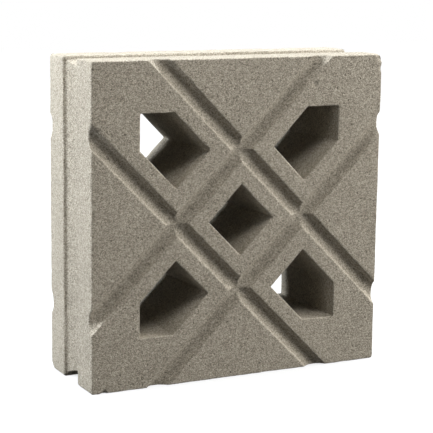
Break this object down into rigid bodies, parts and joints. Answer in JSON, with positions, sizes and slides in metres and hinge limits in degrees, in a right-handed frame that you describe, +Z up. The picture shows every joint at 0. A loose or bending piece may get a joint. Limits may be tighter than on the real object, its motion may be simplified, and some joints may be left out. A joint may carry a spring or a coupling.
{
  "type": "breeze block",
  "caption": "Square concrete screen block with a diamond hole in the middle, squared-off holes near its corners, crossed diagonal grooves and a mortar channel around its sides.",
  "frame": {"origin": "middle of the bottom, half-way through the depth", "axes": "+Z up as the block stands, +Y from the front face to the rear face, +X to the right seen from the front"},
  "size_m": [0.3, 0.1, 0.3],
  "materials": {
    "concrete": "rough"
  },
  "bodies": {
    "root": {"screen_block": "concrete"}
  },
  "joints": []
}
